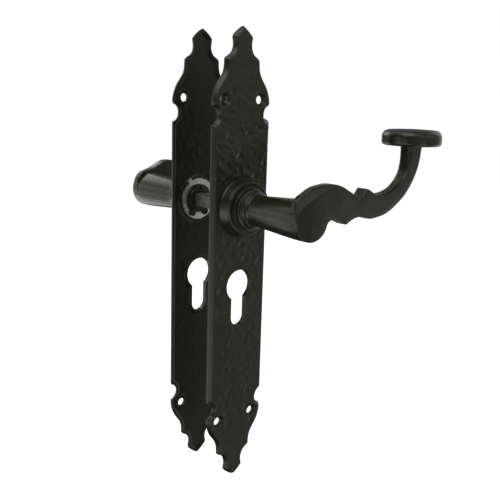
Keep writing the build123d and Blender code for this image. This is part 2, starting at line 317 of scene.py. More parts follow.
def block(x0, x1, d0, d1, z0, z1, side, turn=0.0):
    """A cutting block, turned about the spindle axis by turn degrees."""
    c, s = math.cos(math.radians(turn)), math.sin(math.radians(turn))
    v = []
    for x in (x0, x1):
        for d in (d0, d1):
            for z in (z0, z1):
                v.append(((c * x - s * z) * MM, side * (DOOR / 2 + d) * MM, (s * x + c * z) * MM))
    mesh = bpy.data.meshes.new("block")
    mesh.from_pydata(v, [], [(0, 1, 3, 2), (4, 6, 7, 5), (0, 4, 5, 1), (2, 3, 7, 6), (0, 2, 6, 4), (1, 5, 7, 3)])
    bm = bmesh.new()
    bm.from_mesh(mesh)
    bmesh.ops.recalc_face_normals(bm, faces=bm.faces)
    bm.to_mesh(mesh)
    bm.free()
    return link("block", mesh)


def rounded(points, radius=0.2, steps=3):
    """A profile polyline with its corners rounded. radius: one or one a point."""
    p = [np.array(q[:2], float) for q in points]
    out = [p[0]]
    for i in range(1, len(p) - 1):
        r = points[i][2] if len(points[i]) > 2 else radius
        a, b = p[i - 1] - p[i], p[i + 1] - p[i]
        la, lb = np.linalg.norm(a), np.linalg.norm(b)
        a, b = a / la, b / lb
        half = math.acos(max(-1.0, min(1.0, float(a @ b)))) / 2
        if r <= 0 or half > math.radians(86):
            out.append(p[i])
            continue
        t = min(r / math.tan(half), 0.45 * la, 0.45 * lb)
        s, e = p[i] + a * t, p[i] + b * t
        for k in range(steps + 1):
            u = k / steps
            out.append((1 - u) ** 2 * s + 2 * u * (1 - u) * p[i] + u * u * e)
    out.append(p[-1])
    return np.array(out)


def revolved(shape, profile, n=144):
    """Adds the surface made by turning (radius, d) points about the spindle."""
    rings = []
    for r, d in profile:
        rings.append(lift(circle(max(r, 1e-4), n), d))
    for a, b in zip(rings, rings[1:]):
        shape.strip(a, b)


# ---------------------------------------------------------------- materials
def node(nt, kind, **values):
    n = nt.nodes.new(kind)
    for k, v in values.items():
        if hasattr(n, k):
            setattr(n, k, v)
        else:
            n.inputs[k].default_value = v
    return n


def new_material(name):
    m = bpy.data.materials.new(name)
    m.use_nodes = True
    nt = m.node_tree
    for n in list(nt.nodes):
        nt.nodes.remove(n)
    out = nt.nodes.new("ShaderNodeOutputMaterial")
    b = nt.nodes.new("ShaderNodeBsdfPrincipled")
    nt.links.new(b.outputs["BSDF"], out.inputs["Surface"])
    co = nt.nodes.new("ShaderNodeTexCoord")
    return m, nt, b, co


def noise(nt, co, scale, detail=3.0, rough=0.55, stretch=None, distortion=0.0):
    n = nt.nodes.new("ShaderNodeTexNoise")
    n.inputs["Scale"].default_value = scale
    n.inputs["Detail"].default_value = detail
    n.inputs["Roughness"].default_value = rough
    n.inputs["Distortion"].default_value = distortion
    src = co.outputs["Object"]
    if stretch:
        mp = nt.nodes.new("ShaderNodeMapping")
        mp.inputs["Scale"].default_value = stretch
        nt.links.new(src, mp.inputs["Vector"])
        src = mp.outputs["Vector"]
    nt.links.new(src, n.inputs["Vector"])
    return n


def ramp(nt, fac, stops):
    r = nt.nodes.new("ShaderNodeValToRGB")
    els = r.color_ramp.elements
    while len(els) < len(stops):
        els.new(0.5)
    for e, (pos, col) in zip(els, stops):
        e.position = pos
        e.color = (*col, 1.0) if len(col) == 3 else col
    nt.links.new(fac, r.inputs["Fac"])
    return r


def span(nt, fac, a, b, lo=0.3, hi=0.7):
    """fac mapped from lo..hi to a..b."""
    m = nt.nodes.new("ShaderNodeMapRange")
    m.inputs["From Min"].default_value, m.inputs["From Max"].default_value = lo, hi
    m.inputs["To Min"].default_value, m.inputs["To Max"].default_value = a, b
    nt.links.new(fac, m.inputs["Value"])
    return m.outputs["Result"]


def bump(nt, height, strength, distance_mm, normal=None):
    b = nt.nodes.new("ShaderNodeBump")
    b.inputs["Strength"].default_value = strength
    b.inputs["Distance"].default_value = distance_mm * MM
    nt.links.new(height, b.inputs["Height"])
    if normal is not None:
        nt.links.new(normal, b.inputs["Normal"])
    return b.outputs["Normal"]


def satin_black(name, tint=(0.0158, 0.0163, 0.0066), rough=(0.36, 0.50), grain=1.0, peel_deep=0.035, spec=0.5):
    """Satin powder coat over iron: a fine orange peel, cloudy sheen, specks."""
    m, nt, b, co = new_material(name)
    cloud = noise(nt, co, 55.0, 4.0, 0.6)
    fine = noise(nt, co, 900.0, 4.0, 0.65)
    peel = noise(nt, co, 1500.0, 2.0, 0.5)
    wave = noise(nt, co, 210.0, 3.0, 0.55)
    dark = tuple(0.78 * c for c in tint)
    light = tuple(1.28 * c for c in tint)
    col = ramp(nt, cloud.outputs["Fac"], [(0.32, dark), (0.55, tint), (0.72, light)])
    fleck = ramp(nt, fine.outputs["Fac"], [(0.42, (0.9, 0.9, 0.9)), (0.66, (1.0, 1.0, 1.0)), (0.80, (1.35, 1.34, 1.3))])
    mix = nt.nodes.new("ShaderNodeMix")
    mix.data_type, mix.blend_type = "RGBA", "MULTIPLY"
    mix.inputs[0].default_value = 1.0
    nt.links.new(col.outputs["Color"], mix.inputs[6])
    nt.links.new(fleck.outputs["Color"], mix.inputs[7])
    nt.links.new(mix.outputs[2], b.inputs["Base Color"])
    nt.links.new(span(nt, wave.outputs["Fac"], rough[0], rough[1], 0.25, 0.75), b.inputs["Roughness"])
    n1 = bump(nt, wave.outputs["Fac"], 0.25 * grain, 0.12)
    n2 = bump(nt, peel.outputs["Fac"], 0.30 * grain, peel_deep, n1)
    nt.links.new(n2, b.inputs["Normal"])
    b.inputs["Metallic"].default_value = 0.0
    b.inputs["IOR"].default_value = 1.46
    b.inputs["Specular IOR Level"].default_value = spec
    b.inputs["Specular Tint"].default_value = (0.985, 1.0, 0.93, 1)
    return m


def metal(name, colour, rough=(0.25, 0.42), grain=(1.0, 1.0, 1.0), line=900.0, depth=0.02, patch=0.18):
    """Bare or plated steel: drawn or turned lines, cloudy patches."""
    m, nt, b, co = new_material(name)
    lines = noise(nt, co, line, 3.0, 0.6, stretch=grain)
    cloud = noise(nt, co, 160.0, 4.0, 0.6)
    lo = tuple(c * (1 - patch) for c in colour)
    hi = tuple(min(1.0, c * (1 + patch * 0.6)) for c in colour)
    col = ramp(nt, cloud.outputs["Fac"], [(0.33, lo), (0.5, colour), (0.68, hi)])
    nt.links.new(col.outputs["Color"], b.inputs["Base Color"])
    nt.links.new(span(nt, lines.outputs["Fac"], rough[0], rough[1], 0.3, 0.7), b.inputs["Roughness"])
    nt.links.new(bump(nt, lines.outputs["Fac"], 0.5, depth), b.inputs["Normal"])
    b.inputs["Metallic"].default_value = 1.0
    return m


def plastic(name, colour=(0.014, 0.014, 0.015), rough=(0.42, 0.56)):
    m, nt, b, co = new_material(name)
    fine = noise(nt, co, 700.0, 4.0, 0.6)
    cloud = noise(nt, co, 90.0, 3.0, 0.5)
    col = ramp(nt, cloud.outputs["Fac"], [(0.35, tuple(0.8 * c for c in colour)), (0.65, tuple(1.3 * c for c in colour))])
    nt.links.new(col.outputs["Color"], b.inputs["Base Color"])
    nt.links.new(span(nt, fine.outputs["Fac"], rough[0], rough[1]), b.inputs["Roughness"])
    nt.links.new(bump(nt, fine.outputs["Fac"], 0.3, 0.02), b.inputs["Normal"])
    b.inputs["IOR"].default_value = 1.5
    return m


PLATE_MAT = satin_black("satin_black_hammered", rough=(0.27, 0.38), grain=0.6, peel_deep=0.02)
# a darker, less glossy copy of the black, put on the side facing the door
DARKER_BACK_MAT = satin_black("satin_black_darker_back", tint=(0.0116, 0.0119, 0.0040), rough=(0.34, 0.46), grain=0.8, peel_deep=0.03, spec=0.38)
LEVER_MAT = satin_black("satin_black_forged", rough=(0.22, 0.31), grain=0.30, peel_deep=0.012)
ZINC = metal("bright_zinc", (0.70, 0.69, 0.66), (0.22, 0.40), (1, 1, 1), 700.0, 0.02, 0.15)
BAR = metal("zinc_bar", (0.34, 0.36, 0.32), (0.34, 0.52), (1.0, 0.06, 1.0), 900.0, 0.03, 0.25)
PIN = metal("worn_pin", (0.105, 0.105, 0.10), (0.40, 0.58), (1, 1, 1), 700.0, 0.02, 0.3)
SPRING = metal("spring_steel", (0.30, 0.29, 0.28), (0.28, 0.44), (1, 1, 1), 800.0, 0.015, 0.2)
CLIP = metal("blackened_steel", (0.055, 0.055, 0.06), (0.30, 0.46), (1, 1, 1), 800.0, 0.02, 0.3)
NYLON = plastic("black_nylon")


def dress(obj, mat):
    obj.data.materials.clear()
    obj.data.materials.append(mat)


def piece(obj, body, cad, mat):
    dress(obj, mat)
    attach(obj, body)
    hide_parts(cad)
    return obj


# ------------------------------------------------------------ the backplates
def plate_ring(step=0.8):
    up = [spline(s, step) for s in (HEAD, NECK, BELLY)] + [arc3(*NOTCH, step)]
    q = np.concatenate([u[:-1] for u in up] + [np.array([NOTCH[2]])])
    side = line(NOTCH[2], (NOTCH[2][0], -NOTCH[2][1]), step)
    low = q[::-1] * (1, -1)
    right = np.concatenate([q, side[1:-1], low])
    left = (right * (-1, 1))[::-1][1:-1]
    ring = np.concatenate([right, left])[::-1]
    return ring + (0, PLATE_CZ)


def cutout_ring(grow=0.0, step=0.7):
    """Euro-profile opening: a round above a round-ended slot."""
    r, w = CYL_R + grow, CYL_SLOT_W / 2 + grow
    zc = -CYL_PITCH
    low = zc - CYL_DROP - grow + w
    a = math.asin(w / r)
    t = np.linspace(-math.pi / 2 + a, 1.5 * math.pi - a, max(8, int((2 * math.pi - 2 * a) * r / step)))
    head = np.stack([r * np.cos(t), zc + r * np.sin(t)], 1)
    left = line(head[-1], (-w, low), step)
    u = np.linspace(math.pi, 2 * math.pi, max(6, int(math.pi * w / step)))
    foot = np.stack([w * np.cos(u), low + w * np.sin(u)], 1)
    right = line((w, low), head[0], step)
    return ring_of([head, left, foot, right])


SCREWS = [(x, PLATE_CZ + z) for x in (-SCREW_X / 2, SCREW_X / 2) for z in (-SCREW_Z / 2, SCREW_Z / 2)]

# across the bevel, from the rim's arris to the face: inset, depth
BEVEL = [(0.0, 1.02), (0.09, 1.30), (0.26, 1.53), (1.27, 3.00), (1.43, 3.20), (1.64, 3.33), (1.95, FACE_D)]
SINK = [(4.05, 3.06), (4.30, 3.30), (4.62, 3.39), (4.95, FACE_D)]
KEYHOLE = [(0.0, 3.12), (0.12, 3.30), (0.34, 3.39), (0.62, FACE_D)]


def plate_front():
    outer = plate_ring()
    rings = [inset(outer, s) for s, _ in BEVEL]
    holes = [[circle(r, 40, x, z) for r, _ in SINK] for x, z in SCREWS]
    holes.append([cutout_ring(s) for s, _ in KEYHOLE])
    holes.append([circle(SPIGOT_R, 120)])
    g = grid_points((-22, PLATE_CZ - 139), (22, PLATE_CZ + 139), 0.72)
    keep = inside(g, rings[-1])
    g = g[keep]
    keep = distance(g, rings[-1]) > 0.36
    for h in holes:
        last = h[-1]
        keep &= ~inside(g, last) & (distance(g, last) > 0.36)
    return rings, holes, triangulate(rings, holes, g[keep])


def hammered(points, seed):
    """Height of the hammered face over its plane, for (x, z) points."""
    rng = np.random.default_rng(seed)
    x, z = points[:, 0], points[:, 1] - PLATE_CZ
    h = np.zeros(len(points))
    # long hollows left by the hammer
    for _ in range(26):
        k = rng.uniform(0.05, 0.28, 2) * rng.choice([-1, 1], 2)
        h += 0.016 * np.sin(k[0] * x + k[1] * z + rng.uniform(0, 6.28))
    # blows: shallow dishes with a slightly raised lip, thicker in the middle
    n = 1350
    cx, cz = rng.uniform(-21, 21, n), rng.uniform(-132, 132, n)
    rad = rng.uniform(0.9, 2.5, n)
    deep = rng.uniform(0.03, 0.20, n) * (0.5 + 0.5 * rad / 2.5)
    lean = rng.uniform(-1, 1, (n, 2)) * 0.35
    for i in range(n):
        m = (np.abs(x - cx[i]) < 2.6 * rad[i]) & (np.abs(z - cz[i]) < 2.6 * rad[i])
        if not m.any():
            continue
        dx, dz = (x[m] - cx[i]) / rad[i], (z[m] - cz[i]) / rad[i]
        q = dx * dx + dz * dz + 0.5 * lean[i, 0] * dx * dz
        bowl = -np.exp(-q * 1.1) + 0.42 * np.exp(-(np.sqrt(q) - 1.45) ** 2 * 4.0)
        h[m] += deep[i] * bowl * (1 + lean[i, 1] * dx)
    # the finials are left smooth, the middle carries the marks
    a = np.abs(z)
    weight = np.interp(a, [0, 78, 92, 104, 118, 138], [1.0, 1.0, 0.75, 0.40, 0.14, 0.08])
    return h * weight * np.interp(z, [-70, -30, 20, 50, 80], [0.42, 0.50, 0.95, 1.30, 1.40])


DISH = 0.80      # the visible back is dished this deep; the hub's seat is deeper


def backplate(name, side, seed, top):
    rings, holes, (v, f, tags) = top
    depth = np.full(len(v), FACE_D)
    groups = [BEVEL] + [SINK] * 4 + [KEYHOLE] + [[(SPIGOT_R, FACE_D)]]
    free = np.ones(len(v))
    for i, t in enumerate(tags):
        if t != -1:
            depth[i] = groups[t[0]][t[1]][1]
            free[i] = 1.0 if t[1] == len(groups[t[0]]) - 1 and t[0] < 5 else 0.0
    edge = np.minimum(distance(v, rings[-1]) / 1.4, 1.0) * inside(v, rings[-1])
    near = np.ones(len(v))
    for h in holes[:5]:
        near = np.minimum(near, distance(v, h[-1]) / 1.0)
    rr = np.hypot(v[:, 0], v[:, 1])
    near = np.minimum(near, np.clip((rr - BOSS_R - 0.1) / 1.2, 0, 1))
    marks = hammered(v, seed) * np.clip(edge * 0.85 + 0.15, 0, 1) * np.clip(near, 0, 1) * (free > 0)
    # pulled-in dents beside the fixing holes
    rng = np.random.default_rng(seed + 7)
    for x, z in SCREWS:
        for _ in range(5):
            a, r = rng.uniform(0, 6.28), rng.uniform(6.2, 8.0)
            q = ((v[:, 0] - x - r * math.cos(a)) ** 2 + (v[:, 1] - z - r * math.sin(a)) ** 2) / rng.uniform(1.2, 1.9) ** 2
            marks -= 0.28 * np.exp(-q) * np.clip(edge, 0, 1) * np.clip(near, 0, 1) * (free > 0)
    depth = depth + marks
    s = Shape()
    s.add(np.stack([v[:, 0], depth, v[:, 1]], 1), f)
    outer = rings[0]
    s.strip(lift(outer, BEVEL[0][1]), lift(outer, 0.45))
    s.strip(lift(outer, 0.45), lift(outer, 0.10))
    # back: seating rim, hollow, pads round the openings
    back = [(0.0, 0.10), (0.10, 0.0), (RIM_W - 0.5, 0.0), (RIM_W - 0.3, 0.10), (RIM_W + 0.05, 0.50), (RIM_W + 0.45, DISH)]
    pad = [(2.5, 0.12), (2.65, 0.0), (4.5, 0.0), (4.68, 0.12), (4.95, 0.45), (5.3, DISH)]
    web = [(0.0, 0.12), (0.12, 0.0), (1.7, 0.0), (1.88, 0.12), (2.15, 0.45), (2.5, DISH)]
    br = [inset(outer, q) for q, _ in back]
    bh = [[circle(r, 40, x, z) for r, _ in pad] for x, z in SCREWS]
    bh.append([cutout_ring(q) for q, _ in web])
    bh.append([circle(SPIGOT_R, 120)])
    g = grid_points((-22, PLATE_CZ - 139), (22, PLATE_CZ + 139), 1.05)
    g = g[inside(g, br[-1])]
    keep = distance(g, br[-1]) > 0.5
    for h in bh:
        keep &= ~inside(g, h[-1]) & (distance(g, h[-1]) > 0.5)
    w, bf, bt = triangulate(br, bh, g[keep])
    dd = np.full(len(w), POCKET_D)
    bg = [back] + [pad] * 4 + [web] + [[(SPIGOT_R, POCKET_D)]]
    for i, t in enumerate(bt):
        if t != -1:
            dd[i] = bg[t[0]][t[1]][1]
    flat = np.array([t == -1 for t in bt])
    rim = distance(w, br[-1])
    hub = np.clip((np.hypot(w[:, 0], w[:, 1]) - 14.9) / 0.8, 0, 1)
    struck = 0.42 * hammered(w, seed + 3) * np.clip(rim / 2.0, 0, 1) * hub
    dd = np.where(flat, POCKET_D + (DISH - POCKET_D) * hub + struck, dd)
    s.add(np.stack([w[:, 0], dd, w[:, 1]], 1), bf)
    # walls of the openings
    for x, z in SCREWS:
        s.strip(lift(circle(4.05, 40, x, z), 3.06), lift(circle(2.62, 40, x, z), 1.66))
        s.strip(lift(circle(2.62, 40, x, z), 1.66), lift(circle(2.5, 40, x, z), 1.5))
        s.strip(lift(circle(2.5, 40, x, z), 1.5), lift(circle(2.5, 40, x, z), 0.12))
    s.strip(lift(cutout_ring(), KEYHOLE[0][1]), lift(cutout_ring(), 1.6))
    s.strip(lift(cutout_ring(), 1.6), lift(cutout_ring(), 0.12))
    s.strip(lift(circle(SPIGOT_R, 120), FACE_D), lift(circle(SPIGOT_R, 120), POCKET_D))
    obj = s.make(name, side, angle=38.0)
    slot_cut = block(12.0, TAB_REACH + 0.35, POCKET_D - 0.5, SLOT_FLOOR, -TAB_W / 2 - 0.3, TAB_W / 2 + 0.3, side, TAB_ANGLE)
    return cut(obj, slot_cut)


top = plate_front()
for word, side, lever in SIDES:
    o = backplate(f"{word}_backplate_forged", side, 11 if side == OUT else 23, top)
    piece(o, "plates", f"{word}_backplate", PLATE_MAT)
    # the hollow side facing the door gets a darker, less glossy copy of the black
    o.data.materials.append(DARKER_BACK_MAT)
    for f in o.data.polygons:
        if f.normal.y * side < -0.5 and abs(f.center.y) < (DOOR / 2 + 2.4) * MM:
            f.material_index = 1


# --------------------------------------------------------------- boss collar
def boss_collar(name, side):
    outer = [(SPIGOT_R, POCKET_D, 0.0), (SPIGOT_R, FACE_D - 0.25, 0.0), (17.15, FACE_D - 0.25, 0.0), (17.45, FACE_D + 0.12, 0.12), (17.40, FACE_D + 0.85, 0.35), (17.0, FACE_D + 1.45, 0.5),
             (16.0, BOSS_D - 1.25, 0.3), (15.78, BOSS_D - 0.95, 0.2)]
    nose = []
    for i in range(9):
        t = math.pi / 2 * i / 8
        nose.append((15.0 + 0.75 * math.cos(t), BOSS_D - 0.3 + 0.7 * math.sin(t), 0.0))
    step = [(13.7, BOSS_D + 0.30, 0.3), (12.85, BOSS_D + 0.22, 0.1), (12.55, BOSS_D + 0.30, 0.1), (12.68, BOSS_D + 0.65, 0.2), (12.62, RING_D - 0.35, 0.3), (12.25, RING_D, 0.15),
            (BUSH_OUT_R, RING_D, 0.0), (BUSH_OUT_R, WALL_D, 0.1), (CAVITY_R, WALL_D, 0.3), (CAVITY_R, POCKET_D + 0.2, 0.0), (CAVITY_R + 0.15, POCKET_D, 0.0), (SPIGOT_R, POCKET_D, 0.0)]
    s = Shape()
    revolved(s, rounded(outer + nose + step, 0.15), 160)
    obj = s.make(name, side, angle=40.0)
    return cut(obj, block(12.0, TAB_REACH + 0.35, POCKET_D - 0.6, SLOT_FLOOR, -TAB_W / 2 - 0.3, TAB_W / 2 + 0.3, side, TAB_ANGLE))


for word, side, lever in SIDES:
    piece(boss_collar(f"{word}_collar_turned", side), "plates", f"{word}_boss_collar", LEVER_MAT)


# ---------------------------------------------------------------- lever neck
STOUT_R = BULB_R + 0.75     # the forged bulb, with its coat, over the drawn line


def lever_neck(name, side):
    shaft = [(SHAFT_R - 0.3, SHAFT_END, 0.0), (SHAFT_R, SHAFT_END + 0.3, 0.1), (SHAFT_R, GROOVE_A, 0.0), (GROOVE_R, GROOVE_A, 0.0), (GROOVE_R, GROOVE_B, 0.0), (SHAFT_R, GROOVE_B, 0.0),
             (SHAFT_R, RING_D + 0.18, 0.0), (11.5, RING_D + 0.18, 0.15), (11.78, RING_D + 0.42, 0.25), (11.78, RING_D + 1.05, 0.3)]
    waist = spline([(11.55, RING_D + 1.28), (11.1, 13.82), (10.5, 14.0), (10.12, 14.3), (10.05, 14.7), (10.25, 15.1), (10.62, 15.45), (10.82, 15.95), (11.0, 16.5), (10.86, 17.1), (10.5, 17.6), (10.0, 17.95), (9.6, 18.3), (9.35, 18.8), (9.22, 19.5), (9.18, 20.5)], 0.3)
    flare = spline([(9.18, 20.5), (9.2, 22.0), (9.38, 25.0), (9.68, 29.0), (10.03, 34.0), (10.4, 39.0), (10.75, 44.0), (11.03, 48.5), (11.2, 52.0), (STOUT_R, GRIP_BACK)], 1.2)
    tail = [(STOUT_R, GRIP_BACK + 0.02), (9.0, GRIP_BACK + 0.15)]
    prof = np.concatenate([rounded(shaft, 0.1), waist, flare[1:], np.array(tail)])
    n = 144
    s = Shape()
    revolved(s, prof, n)
    # the end is closed inside the bar
    s.strip(lift(circle(9.0, n), GRIP_BACK + 0.15), lift(circle(5.0, n), GRIP_BACK + 0.15))
    s.strip(lift(circle(5.0, n), GRIP_BACK + 0.15), lift(circle(4.9, n), GRIP_BACK + 4.6))
    s.add(lift(circle(4.9, n), GRIP_BACK + 4.6), [tuple(range(n))])
    # end face of the shaft with the square socket
    end = circle(SHAFT_R - 0.3, n)
    h = SOCKET_SQ / 2
    sq = ring_of([line((-h, -h), (h, -h), 0.6), line((h, -h), (h, h), 0.6), line((h, h), (-h, h), 0.6), line((-h, h), (-h, -h), 0.6)])
    sq_out = inset(sq, -0.25)
    v, f, tags = triangulate([end], [[sq, sq_out]], np.zeros((0, 2)))
    dd = np.array([SHAFT_END + (0.25 if t == (1, 0) else 0.0) for t in tags])
    s.add(np.stack([v[:, 0], dd, v[:, 1]], 1), f)
    s.strip(lift(sq, SHAFT_END + 0.25), lift(sq, SOCKET_END))
    s.add(lift(sq, SOCKET_END), [tuple(range(len(sq)))])
    obj = s.make(name, side, angle=40.0)
    return cut(obj, block(6.2, 9.0, SHAFT_END - 1, 8.45, -1.0, 1.0, side, KEY_ANGLE))


for word, side, lever in SIDES:
    piece(lever_neck(f"{word}_neck_turned", side), lever, f"{word}_lever_neck", LEVER_MAT)


# ---------------------------------------------------------------- lever grip
def grip_ring(shave=0.0, step=0.55):
    """The bar's outline as forged: fuller than the drawn line, most at the stem."""
    a0 = math.atan2(UNDER[-1][1], UNDER[-1][0])
    a1 = math.atan2(TOP_LINE[0][1], TOP_LINE[0][0]) - 2 * math.pi
    am = (a0 + a1) / 2
    bulb = arc3(UNDER[-1], (BULB_R * math.cos(am), BULB_R * math.sin(am)), TOP_LINE[0], step)
    line_in = ring_of([spline(TOP_LINE, step), line(TOP_LINE[-1], (40.6, 10.4), step), line((40.6, 10.4), TOOTH, step), spline(AFTER_TOOTH, step), line(AFTER_TOOTH[-1], OUTER[0], step), spline(OUTER, step), spline(UNDER, step), bulb])
    e = np.roll(line_in, -1, 0) - np.roll(line_in, 1, 0)
    e /= np.linalg.norm(e, axis=1)[:, None]
    normal = np.stack([e[:, 1], -e[:, 0]], 1)
    for _ in range(2):
        normal = (np.roll(normal, 1, 0) + normal + np.roll(normal, -1, 0)) / 3
    normal /= np.linalg.norm(normal, axis=1)[:, None]
    x, z = line_in[:, 0], line_in[:, 1]
    low = np.clip((8 - z) / 8, 0, 1)
    more = 0.75 + 0.55 * low * np.clip((x - 12) / 8, 0, 1)
    stem = np.clip((x - 62) / 14, 0, 1) * np.clip((z + 1) / 10, 0, 1)
    more = more + (1.75 - more) * stem
    more = more + 0.5 * np.clip((z - 34.5) / 4, 0, 1) * stem
    # fuller shoulders beside the tooth and at the hump's start
    more = more + 0.7 * np.exp(-((x - 33) / 5.0) ** 2) * (z > 6) + 0.9 * np.exp(-((x + 8.5) / 3.0) ** 2) * (z > 5)
    more = more - 0.75 * np.exp(-((x - 5) / 9.0) ** 2) * (z > 12) - 0.6 * np.exp(-((x - 54) / 6.0) ** 2) * (z < 4)
    # the inside set's hump was dressed back further
    more = more - shave * np.exp(-((x - 0.5) / 10.0) ** 2) * np.clip((z - 5.0) / 5, 0, 1)
    out = line_in + normal * more[:, None]
    keep = distance(out, line_in) > 0.93 * np.abs(more) - 1e-6
    return out[keep]


def soft(x, width):
    """0 below zero, x above it, with a rounded knee."""
    return width * np.logaddexp(0.0, np.asarray(x) / width)


HUMP = spline(TOP_LINE[:7], 0.4)


def drop(x, z):
    """How far the forged front face falls back towards the neck's side."""
    flat = 0.052 * soft(8.9 - x, 0.35) + 0.105 * soft(-1.3 - x, 0.12)
    # the hump's upper left is ground to a broad slanting flat
    d = np.sqrt((x[:, None] - HUMP[None, :, 0]) ** 2 + (z[:, None] - HUMP[None, :, 1]) ** 2)
    u = d.argmin(1) / (len(HUMP) - 1)
    out = np.where((x > 9) | inside(np.stack([x, z], 1), line_closed()), d.min(1), -d.min(1))
    wide = 4.4 * np.sin(np.pi * np.clip(u * 1.02, 0, 1)) ** 0.8
    fade = np.clip((14.5 - x) / 6, 0, 1)
    return flat + 0.46 * soft(wide - out, 0.20) * fade * np.clip(wide / 0.6, 0, 1)


def line_closed():
    return np.concatenate([HUMP, [(13.8, -10.0), (-9.6, -10.0)]])


def lever_grip(name, side):
    ring = grip_ring(0.0 if side == OUT else 3.9)
    insets = [1.25 * (1 - math.cos(t)) for t in np.linspace(0, math.pi / 2, 6)] + [1.75, 2.55]
    rings = [inset(ring, q) for q in insets]
    g = grid_points((-12, -12), (94, 40), 0.95)
    g = g[inside(g, rings[-1])]
    g = g[distance(g, rings[-1]) > 0.5]
    v, f, tags = triangulate(rings, [], g)
    q = np.array([insets[t[1]] if t != -1 else 9.0 for t in tags])

    def edge(q, r):
        """Depth taken off by a round edge of radius r at q from the outline."""
        return np.where(q < r, r - np.sqrt(np.maximum(r * r - (r - np.minimum(q, r)) ** 2, 0)), 0.0)

    def front_r(x):
        return np.interp(x, [-8.5, -3.5, 60, 75], [0.40, 1.0, 1.0, 1.3])

    def back_r(x):
        return np.interp(x, [-5, 8, 55, 72], [1.25 if side == OUT else 2.2, 1.25, 1.25, 2.3])

    def seat(x, z):
        """0 where the neck's end carries the bar, 1 away from it."""
        return np.clip((np.hypot(x, z) - STOUT_R - 0.08) / 3.0, 0, 1)

    # slow unevenness of the forged faces
    wav = 0.05 * np.sin(0.31 * v[:, 0] + 0.7) + 0.04 * np.sin(0.23 * v[:, 0] - 0.35 * v[:, 1])
    ease = np.clip(distance(v, ring) / 2.5, 0, 1)
    crown = np.interp(q, [0, 1.25, 2.55, 9.0], [0.0, 0.0, 0.10, 0.16])
    front = GRIP_FRONT + 0.15 - drop(v[:, 0], v[:, 1]) - edge(q, front_r(v[:, 0])) + crown + wav * ease * 0.9
    k = seat(v[:, 0], v[:, 1])
    thick = 0.6 * np.clip((v[:, 0] - 20) / 30, 0, 1)
    back = GRIP_BACK - thick + k * (0.05 + edge(q, back_r(v[:, 0])))
    s = Shape()
    s.add(np.stack([v[:, 0], front, v[:, 1]], 1), f)
    s.add(np.stack([v[:, 0], back, v[:, 1]], 1), f)
    x, z = ring[:, 0], ring[:, 1]
    top_d = GRIP_FRONT + 0.15 - drop(x, z) - edge(np.zeros(len(x)), front_r(x))
    low_d = GRIP_BACK - 0.6 * np.clip((x - 20) / 30, 0, 1) + seat(x, z) * (0.05 + edge(np.zeros(len(x)), back_r(x)))
    walls = [top_d + (low_d - top_d) * u for u in (0.0, 0.25, 0.5, 0.75, 1.0)]
    for a, b in zip(walls, walls[1:]):
        s.strip(lift(ring, a), lift(ring, b))
    return s.make(name, side, angle=50.0)


for word, side, lever in SIDES:
    piece(lever_grip(f"{word}_grip_forged", side), lever, f"{word}_lever_grip", LEVER_MAT)


# ---------------------------------------------------------------- thumb disc
def lever_disc(name, side):
    low, h = DISC_BOTTOM - 0.95, DISC_TOP - DISC_BOTTOM + 1.8
    rb, rt = 1.9, 3.9
    pts = [(0.0, 0.55), (3.0, 0.55), (4.6, 0.30), (6.2, 0.06), (8.0, 0.0), (DISC_R - rb - 1.0, 0.0)]
    pts += [(DISC_R - rb + rb * math.sin(t), rb - rb * math.cos(t)) for t in np.linspace(0, math.pi / 2, 8)]
    pts += [(DISC_R - rt + rt * math.cos(t), h - 0.45 - rt + rt * math.sin(t)) for t in np.linspace(0, math.pi / 2, 14)]
    pts += [(11.0, h - 0.28), (8.0, h - 0.14), (5.0, h - 0.05), (2.0, h), (0.0, h)]
    n = 144
    mid = DOOR / 2 + (GRIP_BACK + GRIP_FRONT) / 2
    p, f = [], []
    t = np.arange(n) * 2 * math.pi / n
    for r, z in pts:
        r = max(r, 1e-4)
        ripple = 1 + 0.004 * np.sin(3 * t + 0.4) + 0.003 * np.sin(5 * t)
        p += list(np.stack([STEM_X + r * ripple * np.cos(t), side * mid + r * ripple * np.sin(t), low + z + 0 * t], 1) * MM)
    for k in range(len(pts) - 1):
        for i in range(n):
            j = (i + 1) % n
            f.append((k * n + i, k * n + j, (k + 1) * n + j, (k + 1) * n + i))
    mesh = bpy.data.meshes.new(name)
    mesh.from_pydata([tuple(q) for q in p], [], f)
    bm = bmesh.new()
    bm.from_mesh(mesh)
    bmesh.ops.remove_doubles(bm, verts=bm.verts, dist=0.002 * MM)
    bmesh.ops.recalc_face_normals(bm, faces=bm.faces)
    finish_mesh(bm, 45.0)
    bm.to_mesh(mesh)
    bm.free()
    return link(name, mesh)


for word, side, lever in SIDES:
    piece(lever_disc(f"{word}_disc_turned", side), lever, f"{word}_lever_disc", LEVER_MAT)


